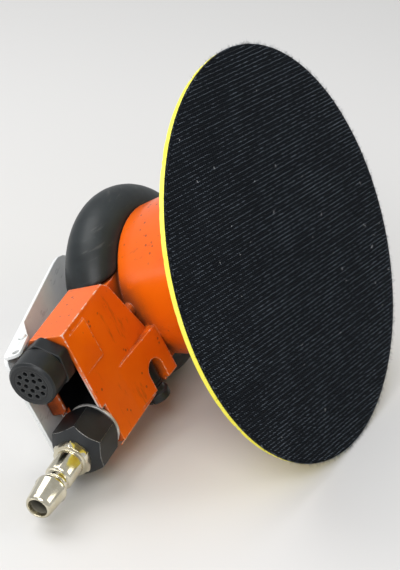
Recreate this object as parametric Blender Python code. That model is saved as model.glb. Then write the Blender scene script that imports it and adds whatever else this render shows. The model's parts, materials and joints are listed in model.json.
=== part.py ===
"""A palm-grip air sander with a round hook-and-loop pad, as separate solids.

The pad's sanding face lies on z = 0 and the motor's axis is the Z axis. The handle points to -X.
"""

import math

import bmesh
import bpy
from mathutils import Matrix, Vector

MM = 0.001

# Clearances
GAP = 0.3 * MM            # between pieces that touch
RUN = 0.3 * MM            # round a piece that turns or slides

# Pad
PAD_RADIUS = 90.0 * MM
HOOK_THICKNESS = 2.0 * MM
FOAM_EDGE = 3.0 * MM      # height of the foam's rim
FOAM_INSET = 0.8 * MM     # of the foam behind the hook face's edge
FOAM_THICKNESS = 8.2 * MM
BACKING_RADIUS = 65.0 * MM
BACKING_THICKNESS = 3.0 * MM
HUB_RADIUS = 17.0 * MM
HUB_HEIGHT = 3.7 * MM
STUD_RADIUS = 4.0 * MM
STUD_HEAD_RADIUS = 11.0 * MM
STUD_HEAD_THICKNESS = 2.4 * MM
STUD_REACH = 12.0 * MM    # of the stud inside the spindle

# Spindle and its bearing, on the pad's axis
ORBIT_OFFSET = 1.25 * MM  # from the motor's axis to the pad's axis
SPINDLE_RADIUS = 6.0 * MM
SPINDLE_FLATS = 17.0 * MM
SPINDLE_FLANGE = 4.0 * MM
SPINDLE_BEARING_RADIUS = 14.0 * MM
SPINDLE_BEARING_WIDTH = 14.0 * MM

# Shaft with its counterweight
BALANCER_WALL = 4.4 * MM
BALANCER_WEB = 3.4 * MM
WEIGHT_RADIUS = 30.0 * MM
WEIGHT_HEIGHT = 11.0 * MM
SHAFT_RADIUS = 5.0 * MM
SHAFT_NOSE_RADIUS = 4.0 * MM

# Motor
LOWER_BEARING_RADIUS = 13.0 * MM
LOWER_BEARING_WIDTH = 7.0 * MM
UPPER_BEARING_RADIUS = 11.0 * MM
UPPER_BEARING_WIDTH = 6.0 * MM
ENDPLATE_THICKNESS = 3.5 * MM
CYLINDER_HEIGHT = 21.0 * MM
CYLINDER_BORE = 19.3 * MM
ROTOR_RADIUS = 16.5 * MM
ROTOR_OFFSET = CYLINDER_BORE - ROTOR_RADIUS - RUN
VANE_COUNT = 5
VANE_THICKNESS = 2.0 * MM
VANE_HEIGHT = 8.0 * MM
LOCK_RING_HEIGHT = 6.0 * MM
LOCK_RING_WALL = 8.0 * MM
DOWEL_RADIUS = 1.5 * MM
DOWEL_LENGTH = 8.0 * MM
O_RING_RADIUS = 1.2 * MM

# Motor housing
SKIRT_BOTTOM = 19.0 * MM
SKIRT_RADIUS = 41.2 * MM
SHOULDER_HEIGHT = 65.8 * MM
SHOULDER_RADIUS = 33.5 * MM
NECK_RADIUS = 31.0 * MM
MOTOR_BORE = 27.0 * MM
WEIGHT_BORE = 34.0 * MM
LOCK_RING_BORE = 29.8 * MM
HOUSING_ROOF = 3.0 * MM

# Rubber palm grip
GRIP_RADIUS = 44.3 * MM
GRIP_TUBE = 13.7 * MM
GRIP_CROWN = 1.6 * MM     # rise of the top above the round shoulder

# Handle casting
HANDLE_BOTTOM = 58.0 * MM
HANDLE_SIDE_TOP = 74.8 * MM
HANDLE_TOP = 78.6 * MM
HANDLE_END = -87.0 * MM
HANDLE_LEFT = 27.0 * MM
HANDLE_RIGHT = -29.0 * MM
HANDLE_FRONT = -50.0 * MM
NECK_RIGHT = -20.0 * MM
NECK_LEFT = 24.0 * MM
NECK_BOTTOM = 68.0 * MM
POCKET_DEPTH = 24.0 * MM
BOTTOM_WALL = 1.7 * MM
TOP_WALL = 2.6 * MM

# Exhaust muffler, on the right of the handle's end
EXHAUST_Y = -18.8 * MM
EXHAUST_Z = 69.4 * MM
EXHAUST_BORE = 7.4 * MM
MUFFLER_FLATS = 20.5 * MM
MUFFLER_TURN = 22         # degrees, of the hexagon on its axis
MUFFLER_CORNER = 1.2 * MM # rounding of the hexagon's corners
MUFFLER_HEX_LENGTH = 6.6 * MM
MUFFLER_CAP_RADIUS = 10.45 * MM
MUFFLER_CAP_LENGTH = 10.6 * MM
MUFFLER_WALL = 2.0 * MM
MUFFLER_HOLE = 1.15 * MM

# Air inlet, on the left of the handle's end
INLET_Y = 17.4 * MM
INLET_Z = 68.0 * MM
INLET_BORE = 7.0 * MM
AIR_PASSAGE = 3.6 * MM
PASSAGE_Z = 64.0 * MM
INLET_SEAT = 3.0 * MM     # depth of the round seat in the handle's end
BUSHING_FLATS = 22.0 * MM
BUSHING_TURN = 10
BUSHING_LENGTH = 18.4 * MM
BUSHING_SLOPE = 2.2 * MM  # length of the slope at its outer end
BUSHING_THREAD = 6.7 * MM
WASHER_RADIUS = 11.3 * MM
WASHER_THICKNESS = 1.4 * MM
PLUG_FLATS = 15.0 * MM
PLUG_HEX_LENGTH = 3.6 * MM
PLUG_RADIUS = 6.0 * MM
PLUG_LENGTH = 33.6 * MM
PLUG_BORE = 3.75 * MM

# Throttle lever and valve
LEVER_THICKNESS = 1.5 * MM
LEVER_WIDTH = 58.0 * MM    # across the ears
LEVER_RISE = 14.5         # degrees, up towards the palm grip
LEVER_PIVOT_X = -82.8 * MM
LEVER_PIVOT_Z = 80.8 * MM
LEVER_REAR = 15.5 * MM    # behind the pivot
LEVER_CORNER = 5.0 * MM   # rounding of the rear corners
LEVER_NOSE = 68.0 * MM    # from the pivot to where the nose starts to round
LEVER_NOSE_WIDTH = 54.0 * MM
LEVER_NOSE_LENGTH = 25.0 * MM
LEVER_LIFT = 3.9 * MM     # of the plate above the pivot
EAR_EDGE = 2.4 * MM       # from the pin's centre to the ear's edge
EAR_LENGTH = 14.0 * MM    # in front of the pivot
SPARE_HOLE = 11.4 * MM    # behind the pivot
LUG_WIDTH = 8.0 * MM
PIN_RADIUS = 1.6 * MM
VALVE_X = -62.0 * MM
STEM_RADIUS = 2.4 * MM
STEM_HEAD_RADIUS = 4.4 * MM
SPRING_WIRE = 0.5 * MM
SPRING_RADIUS = 3.2 * MM
SPRING_TURNS = 4

# Speed regulator, a turning barrel across the air passage
REGULATOR_X = -46.6 * MM
REGULATOR_Z = 62.0 * MM
REGULATOR_BARREL = 4.8 * MM
REGULATOR_HEAD = 5.9 * MM
REGULATOR_HEAD_LENGTH = 4.4 * MM
REGULATOR_HEAD_GAP = 1.0 * MM  # between the head and the handle's side
REGULATOR_LENGTH = 24.0 * MM
REGULATOR_NOTCH = 13.1 * MM  # from the tool's middle to the notch that bares the barrel

# Heights of the stack, worked out from the sizes above
FOAM_BASE = HOOK_THICKNESS + GAP
FOAM_TOP = FOAM_BASE + FOAM_THICKNESS
BACKING_BASE = FOAM_TOP + GAP
BACKING_TOP = BACKING_BASE + BACKING_THICKNESS
HUB_TOP = BACKING_TOP + HUB_HEIGHT
SPINDLE_BASE = HUB_TOP + GAP
SPINDLE_SHOULDER = SPINDLE_BASE + SPINDLE_FLANGE
SPINDLE_BEARING_BASE = SPINDLE_SHOULDER + GAP
SPINDLE_BEARING_TOP = SPINDLE_BEARING_BASE + SPINDLE_BEARING_WIDTH
SNAP_RING_THICKNESS = 1.2 * MM
SPINDLE_TOP = SPINDLE_BEARING_TOP + GAP + SNAP_RING_THICKNESS + 2 * GAP
POCKET_ROOF = SPINDLE_TOP + 1.0 * MM
BALANCER_BASE = SKIRT_BOTTOM + 1.5 * MM
BALANCER_TOP = POCKET_ROOF + BALANCER_WEB
SHAFT_SHOULDER = BALANCER_TOP + 1.6 * MM
LOWER_BEARING_BASE = SHAFT_SHOULDER + GAP
LOWER_BEARING_TOP = LOWER_BEARING_BASE + LOWER_BEARING_WIDTH
LOWER_PLATE_TOP = LOWER_BEARING_TOP + GAP + 1.5 * MM
LOWER_PLATE_BASE = LOWER_PLATE_TOP - ENDPLATE_THICKNESS - 1.0 * MM
CYLINDER_BASE = LOWER_PLATE_TOP + GAP
CYLINDER_TOP = CYLINDER_BASE + CYLINDER_HEIGHT
UPPER_PLATE_BASE = CYLINDER_TOP + GAP
UPPER_PLATE_TOP = UPPER_PLATE_BASE + ENDPLATE_THICKNESS
UPPER_BEARING_BASE = UPPER_PLATE_BASE + 1.2 * MM + GAP
UPPER_BEARING_TOP = UPPER_BEARING_BASE + UPPER_BEARING_WIDTH
SHAFT_TOP = UPPER_BEARING_TOP + 1.4 * MM
MOTOR_ROOF = SHAFT_TOP + 0.6 * MM
HOUSING_TOP = MOTOR_ROOF + HOUSING_ROOF
GRIP_CENTRE_Z = SHOULDER_HEIGHT + GRIP_TUBE - 0.1 * MM

ROUND = 30
SMALL = 12
TO_X = Matrix.Rotation(math.radians(90), 4, "Y")      # +Z of the outline becomes +X
TO_MINUS_X = Matrix.Rotation(math.radians(-90), 4, "Y")
TO_Y = Matrix.Rotation(math.radians(-90), 4, "X")
SIDEWAYS = Matrix.Rotation(math.radians(90), 4, "X")       # an outline in (x, z), pushed towards -Y


def clear_scene():
    for old in list(bpy.data.objects):
        bpy.data.objects.remove(old)


def material(name, colour, roughness, metallic=0.0):
    made = bpy.data.materials.new(name)
    made.use_nodes = True
    shader = made.node_tree.nodes["Principled BSDF"]
    shader.inputs["Base Color"].default_value = (*colour, 1.0)
    shader.inputs["Roughness"].default_value = roughness
    shader.inputs["Metallic"].default_value = metallic
    made.diffuse_color = (*colour, 1.0)
    return made


def finish(name, bm, surface, place=None):
    """The bmesh as a named object with its faces out, smooth across its shallow edges."""
    bmesh.ops.remove_doubles(bm, verts=bm.verts, dist=1e-6)
    bmesh.ops.recalc_face_normals(bm, faces=bm.faces)
    if place is not None:
        bmesh.ops.transform(bm, matrix=place, verts=bm.verts)
    mesh = bpy.data.meshes.new(name)
    bm.to_mesh(mesh)
    bm.free()
    mesh.shade_smooth()
    mesh.set_sharp_from_angle(angle=math.radians(30))
    made = bpy.data.objects.new(name, mesh)
    bpy.context.scene.collection.objects.link(made)
    if surface is None:
        made.hide_render = True
        made.display_type = "WIRE"
    else:
        mesh.materials.append(surface)
    return made


def turned(name, outline, surface, centre=(0.0, 0.0), steps=ROUND, place=None):
    """A solid turned about Z from (radius, height) points; a closed loop unless both ends are on the axis."""
    bm = bmesh.new()
    verts = [bm.verts.new((radius, 0.0, height)) for radius, height in outline]
    edges = [bm.edges.new(pair) for pair in zip(verts, verts[1:])]
    if outline[0][0] > 0 or outline[-1][0] > 0:
        edges.append(bm.edges.new((verts[-1], verts[0])))
    bmesh.ops.spin(bm, geom=verts + edges, cent=(0, 0, 0), axis=(0, 0, 1), angle=2 * math.pi,
                   steps=steps, use_merge=True)
    bmesh.ops.remove_doubles(bm, verts=bm.verts, dist=1e-6)
    bmesh.ops.translate(bm, vec=(*centre, 0.0), verts=bm.verts)
    return finish(name, bm, surface, place)


def ring(name, inner, outer, low, high, surface, centre=(0.0, 0.0), steps=ROUND, place=None):
    outline = [(inner, low), (outer, low), (outer, high), (inner, high)]
    return turned(name, outline, surface, centre, steps, place)


def disc(name, radius, low, high, surface, centre=(0.0, 0.0), steps=ROUND, place=None):
    return turned(name, [(0, low), (radius, low), (radius, high), (0, high)], surface, centre, steps,
                  place)


def prism(name, outline, low, high, surface, place=None, bevel=0.0):
    """The plan outline of (x, y) points, extruded from low to high; bevel rounds its upright edges."""
    bm = bmesh.new()
    face = bm.faces.new([bm.verts.new((x, y, low)) for x, y in outline])
    pushed = bmesh.ops.extrude_face_region(bm, geom=[face])["geom"]
    bmesh.ops.translate(bm, vec=(0, 0, high - low),
                        verts=[v for v in pushed if isinstance(v, bmesh.types.BMVert)])
    bmesh.ops.recalc_face_normals(bm, faces=bm.faces)
    if bevel:
        upright = [e for e in bm.edges if abs(e.verts[0].co.z - e.verts[1].co.z) > (high - low) / 2]
        bmesh.ops.bevel(bm, geom=upright, offset=bevel, segments=3, profile=0.5, affect="EDGES")
    return finish(name, bm, surface, place)


def block(name, low, high, surface, bevel=0.0, place=None):
    outline = [(low[0], low[1]), (high[0], low[1]), (high[0], high[1]), (low[0], high[1])]
    return prism(name, outline, low[2], high[2], surface, place, bevel)


def hexagon(flats):
    corner = flats / math.sqrt(3)
    return [(corner * math.cos(math.radians(60 * i)),
             corner * math.sin(math.radians(60 * i))) for i in range(6)]


def arc(centre, radius, start, end, count):
    """Points on an arc from start to end degrees."""
    angles = [math.radians(start + (end - start) * i / (count - 1)) for i in range(count)]
    return [(centre[0] + radius * math.cos(a), centre[1] + radius * math.sin(a)) for a in angles]


def combine(target, tool, operation):
    step = target.modifiers.new(operation.lower() + "_" + tool.name, "BOOLEAN")
    step.operation = operation
    step.solver = "EXACT"
    step.object = tool


def cut(target, *tools):
    for tool in tools:
        combine(target, tool, "DIFFERENCE")


def join(target, *tools):
    for tool in tools:
        combine(target, tool, "UNION")


def at(x, y, z):
    return Matrix.Translation((x, y, z))


def along_x(x, y, z):
    """Turns a piece built upwards into one that points to -X from (x, y, z)."""
    return at(x, y, z) @ TO_MINUS_X


def set_origin(target, point):
    target.data.transform(Matrix.Translation(-Vector(point)))
    target.location = point


# ---------------------------------------------------------------- pad

def pad(hook_black, foam_yellow, fibre, steel):
    """Hook face, foam and backing plate, with the stud that screws into the spindle."""
    centre = (ORBIT_OFFSET, 0.0)
    disc("hook_face", PAD_RADIUS, 0.0, HOOK_THICKNESS, hook_black, centre, 64)
    head_floor = FOAM_TOP - STUD_HEAD_THICKNESS - GAP
    rim = PAD_RADIUS - FOAM_INSET
    outline = [(0, FOAM_BASE), (rim, FOAM_BASE), (rim, FOAM_BASE + FOAM_EDGE / 2),
               (rim - 1.2 * MM, FOAM_BASE + FOAM_EDGE), (BACKING_RADIUS + 2 * MM, FOAM_TOP),
               (STUD_HEAD_RADIUS + GAP, FOAM_TOP), (STUD_HEAD_RADIUS + GAP, head_floor),
               (0, head_floor)]
    turned("pad_foam", outline, foam_yellow, centre, 64)
    bore = STUD_RADIUS + GAP
    outline = [(bore, BACKING_BASE), (BACKING_RADIUS, BACKING_BASE),
               (BACKING_RADIUS - 1.5 * MM, BACKING_TOP),
               (HUB_RADIUS + 1.5 * MM, BACKING_TOP), (HUB_RADIUS, HUB_TOP), (bore, HUB_TOP)]
    turned("backing_plate", outline, fibre, centre)
    top = SPINDLE_BASE + STUD_REACH
    outline = [(0, FOAM_TOP - STUD_HEAD_THICKNESS), (STUD_HEAD_RADIUS, FOAM_TOP - STUD_HEAD_THICKNESS),
               (STUD_HEAD_RADIUS, FOAM_TOP), (STUD_RADIUS, FOAM_TOP), (STUD_RADIUS, top - 1 * MM),
               (STUD_RADIUS - 1 * MM, top), (0, top)]
    turned("pad_stud", outline, steel, centre, SMALL)


def spindle(steel):
    """The spindle turns freely on the pad's axis; the pad's stud screws into it from below."""
    centre = (ORBIT_OFFSET, 0.0)
    neck = SPINDLE_RADIUS - 0.7 * MM
    outline = [(0, SPINDLE_BASE + 1 * MM), (SPINDLE_RADIUS, SPINDLE_BASE + 1 * MM),
               (SPINDLE_RADIUS, SPINDLE_BEARING_TOP + GAP), (neck, SPINDLE_BEARING_TOP + GAP),
               (neck, SPINDLE_TOP), (0, SPINDLE_TOP)]
    made = turned("spindle", outline, steel, centre, SMALL)
    flange = prism("spindle_flats", hexagon(SPINDLE_FLATS), SPINDLE_BASE, SPINDLE_SHOULDER, None,
                   at(ORBIT_OFFSET, 0, 0))
    thread = disc("spindle_thread", STUD_RADIUS + GAP, SPINDLE_BASE - 1 * MM,
                  SPINDLE_BASE + STUD_REACH + 1 * MM, None, centre, SMALL)
    join(made, flange)
    cut(made, thread)
    ring("spindle_snap_ring", neck + GAP, SPINDLE_RADIUS + 2 * MM, SPINDLE_BEARING_TOP + GAP * 2,
         SPINDLE_BEARING_TOP + GAP * 2 + SNAP_RING_THICKNESS, steel, centre, SMALL)


def bearing(name, inner, outer, low, high, steel, brass, centre=(0.0, 0.0)):
    """Two races with a groove each, and the cage of balls between them."""
    middle = (inner + outer) / 2
    height = (low + high) / 2
    ball = min((outer - inner) * 0.25, (high - low) * 0.3)
    wall = ball * 0.55
    deep = ball + 0.3 * MM
    outline = [(inner, low), (middle - wall, low), (middle - wall, height - deep / 2),
               (middle - deep, height),
               (middle - wall, height + deep / 2), (middle - wall, high), (inner, high)]
    turned(name + "_inner_race", outline, steel, centre, 16)
    outline = [(outer, low), (outer, high), (middle + wall, high), (middle + wall, height + deep / 2),
               (middle + deep, height), (middle + wall, height - deep / 2), (middle + wall, low)]
    turned(name + "_outer_race", outline, steel, centre, 16)
    cage = ball * 0.62
    outline = [(middle - cage + 0.2 * MM, height), (middle, height - cage),
               (middle + cage - 0.2 * MM, height),
               (middle, height + cage)]
    turned(name + "_cage", outline, brass, centre, 16)


# ---------------------------------------------------------------- shaft and motor

def shaft_balancer(steel):
    """The motor's shaft, with an eccentric cup for the spindle's bearing and a half-round counterweight."""
    cup = SPINDLE_BEARING_RADIUS + GAP
    body = cup + ORBIT_OFFSET + BALANCER_WALL
    shoulder = SHAFT_RADIUS + 2.0 * MM
    nose = UPPER_PLATE_BASE - GAP
    outline = [(0, BALANCER_BASE), (body, BALANCER_BASE), (body, BALANCER_TOP),
               (shoulder, BALANCER_TOP),
               (shoulder, SHAFT_SHOULDER), (SHAFT_RADIUS, SHAFT_SHOULDER), (SHAFT_RADIUS, nose),
               (SHAFT_NOSE_RADIUS, nose), (SHAFT_NOSE_RADIUS, SHAFT_TOP), (0, SHAFT_TOP)]
    made = turned("shaft_balancer", outline, steel)
    half = [(x, y) for x, y in arc((0, 0), WEIGHT_RADIUS, 100, 260, 25)]
    weight = prism("counterweight", half, BALANCER_BASE + 1 * MM,
                   BALANCER_BASE + 1 * MM + WEIGHT_HEIGHT, None)
    join(made, weight)
    pocket = disc("bearing_cup", cup, BALANCER_BASE - 1 * MM, POCKET_ROOF, None, (ORBIT_OFFSET, 0.0))
    cut(made, pocket, keyway(0.0, "shaft_keyway"))
    ring("spindle_lock_ring", SPINDLE_FLATS / math.sqrt(3) + 2 * RUN, cup - GAP, BALANCER_BASE,
         SPINDLE_BEARING_BASE - GAP, steel, (ORBIT_OFFSET, 0.0), SMALL)
    ring("shaft_snap_ring", SHAFT_NOSE_RADIUS - 0.6 * MM + GAP, SHAFT_NOSE_RADIUS + 1.6 * MM,
         UPPER_BEARING_TOP + GAP, UPPER_BEARING_TOP + GAP + 0.6 * MM, steel, (0.0, 0.0), SMALL)
    groove = ring("snap_ring_groove", SHAFT_NOSE_RADIUS - 0.6 * MM, SHAFT_NOSE_RADIUS + 2 * MM,
                  UPPER_BEARING_TOP, UPPER_BEARING_TOP + GAP * 2 + 0.6 * MM, None, (0.0, 0.0), SMALL)
    cut(made, groove)


def keyway(clearance, name, surface=None):
    """The half-moon key, or with a clearance the seat for it."""
    centre_z = (CYLINDER_BASE + CYLINDER_TOP) / 2
    low = (SHAFT_RADIUS - 1.6 * MM, -1.5 * MM, centre_z - 5 * MM)
    high = (SHAFT_RADIUS + 1.6 * MM, 1.5 * MM, centre_z + 5 * MM)
    return block(name, [v - clearance for v in low], [v + clearance for v in high], surface)


def rotor(steel, vane_material):
    """The rotor, keyed to the shaft, with a blade lying in each of its slots."""
    low = CYLINDER_BASE + GAP
    high = CYLINDER_TOP - GAP
    made = ring("rotor", SHAFT_RADIUS + GAP, ROTOR_RADIUS, low, high, steel)
    cut(made, keyway(GAP, "rotor_keyway"))
    tip = ROTOR_RADIUS - 0.2 * MM
    for number in range(VANE_COUNT):
        turn = Matrix.Rotation(math.radians(360 / VANE_COUNT * (number + 0.5)), 4, "Z")
        half = VANE_THICKNESS / 2
        slot = block(f"vane_slot_{number + 1}", (tip - VANE_HEIGHT - GAP, -half - GAP, low - 1 * MM),
                     (ROTOR_RADIUS + 1 * MM, half + GAP, high + 1 * MM), None, place=turn)
        cut(made, slot)
        block(f"vane_{number + 1}", (tip - VANE_HEIGHT, -half, low), (tip, half, high), vane_material,
              place=turn)


def motor(aluminium, steel, brass, rubber):
    """The cylinder between its two endplates, with their bearings, dowels, O-ring and lock ring."""
    outer = MOTOR_BORE - GAP
    cylinder = ring("motor_cylinder", 0.5 * MM, outer, CYLINDER_BASE, CYLINDER_TOP, steel)
    bore = disc("cylinder_bore", CYLINDER_BORE, CYLINDER_BASE - 1 * MM, CYLINDER_TOP + 1 * MM, None,
                (-ROTOR_OFFSET, 0.0))
    cut(cylinder, bore)
    middle = (CYLINDER_BASE + CYLINDER_TOP) / 2
    for number, angle in enumerate((150, 210)):
        port = block(f"air_port_{number + 1}", (CYLINDER_BORE - 4 * MM, -2.5 * MM, middle - 5 * MM),
                     (outer + 2 * MM, 2.5 * MM, middle + 5 * MM), None,
                     place=Matrix.Rotation(math.radians(angle), 4, "Z"))
        cut(cylinder, port)
    seat = LOWER_BEARING_RADIUS + GAP
    outline = [(SHAFT_RADIUS + 1.5 * MM, LOWER_PLATE_TOP),
               (SHAFT_RADIUS + 1.5 * MM, LOWER_BEARING_TOP + GAP),
               (seat, LOWER_BEARING_TOP + GAP), (seat, LOWER_BEARING_BASE),
               (seat + 2.5 * MM, LOWER_BEARING_BASE),
               (seat + 2.5 * MM, LOWER_PLATE_BASE), (outer, LOWER_PLATE_BASE), (outer, LOWER_PLATE_TOP)]
    lower = turned("lower_endplate", outline, aluminium)
    seat = UPPER_BEARING_RADIUS + GAP
    outline = [(SHAFT_NOSE_RADIUS + 1.5 * MM, UPPER_PLATE_BASE), (outer, UPPER_PLATE_BASE),
               (outer, UPPER_PLATE_TOP), (seat + 2.5 * MM, UPPER_PLATE_TOP),
               (seat + 2.5 * MM, UPPER_BEARING_TOP), (seat, UPPER_BEARING_TOP),
               (seat, UPPER_BEARING_BASE - GAP),
               (SHAFT_NOSE_RADIUS + 1.5 * MM, UPPER_BEARING_BASE - GAP)]
    upper = turned("upper_endplate", outline, aluminium)
    bearing("lower_bearing", SHAFT_RADIUS + GAP, LOWER_BEARING_RADIUS, LOWER_BEARING_BASE,
            LOWER_BEARING_TOP,
            steel, brass)
    bearing("upper_bearing", SHAFT_NOSE_RADIUS + GAP, UPPER_BEARING_RADIUS, UPPER_BEARING_BASE,
            UPPER_BEARING_TOP, steel, brass)
    for name, plate, face, inward in (("lower_dowel", lower, CYLINDER_BASE, 1),
                                      ("upper_dowel", upper, CYLINDER_TOP, -1)):
        spot = ((outer + CYLINDER_BORE) / 2 + 0.4 * MM, 0.0)
        ends = sorted((face + inward * DOWEL_LENGTH / 2,
                       face - inward * (ENDPLATE_THICKNESS - 0.6 * MM)))
        hole = disc(name + "_hole", DOWEL_RADIUS + GAP, ends[0] - GAP, ends[1] + GAP, None, spot, SMALL)
        cut(plate, hole)
        cut(cylinder, hole)
        disc(name, DOWEL_RADIUS, ends[0], ends[1], steel, spot, SMALL)
    wall = LOCK_RING_BORE - GAP
    top = LOWER_PLATE_BASE - GAP
    lock = ring("lock_ring", wall - LOCK_RING_WALL, wall, top - LOCK_RING_HEIGHT, top, steel)
    for number in range(4):
        notch = disc(f"spanner_hole_{number + 1}", 1.6 * MM, top - LOCK_RING_HEIGHT - 1 * MM,
                     top - LOCK_RING_HEIGHT + 3 * MM, None, (wall - LOCK_RING_WALL / 2, 0.0), 12,
                     Matrix.Rotation(math.radians(45 + 90 * number), 4, "Z"))
        cut(lock, notch)
    centre = (outer - O_RING_RADIUS, UPPER_PLATE_TOP + GAP + O_RING_RADIUS)
    turned("motor_o_ring", arc(centre, O_RING_RADIUS, 0, 300, 6), rubber, steps=28)


# ---------------------------------------------------------------- housing

def handle_plan(grow=0.0):
    """Plan of the handle block, its front slanting towards the motor on the left."""
    return [(HANDLE_END - grow, HANDLE_RIGHT - grow), (HANDLE_FRONT + grow / 2, HANDLE_RIGHT - grow),
            (HANDLE_FRONT + 3.4 * MM + grow, HANDLE_RIGHT + 3.1 * MM), (-37.2 * MM + grow, 1.9 * MM),
            (-33.7 * MM + grow, 18.2 * MM), (-36.0 * MM + grow, HANDLE_LEFT + grow),
            (HANDLE_END - grow, HANDLE_LEFT + grow)]


def handle_upper(name, surface, grow=0.0):
    """The part of the handle above its side walls, drawn in to clear the round grip."""
    plan = [(HANDLE_END - grow, HANDLE_RIGHT - grow), (HANDLE_FRONT + grow / 2, HANDLE_RIGHT - grow),
            (HANDLE_FRONT + 3.4 * MM + grow, HANDLE_RIGHT + 3.1 * MM),
            (-46.0 * MM + grow, HANDLE_LEFT + grow),
            (HANDLE_END - grow, HANDLE_LEFT + grow)]
    return prism(name, plan, NECK_BOTTOM - grow, HANDLE_TOP + grow, surface)


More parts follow.
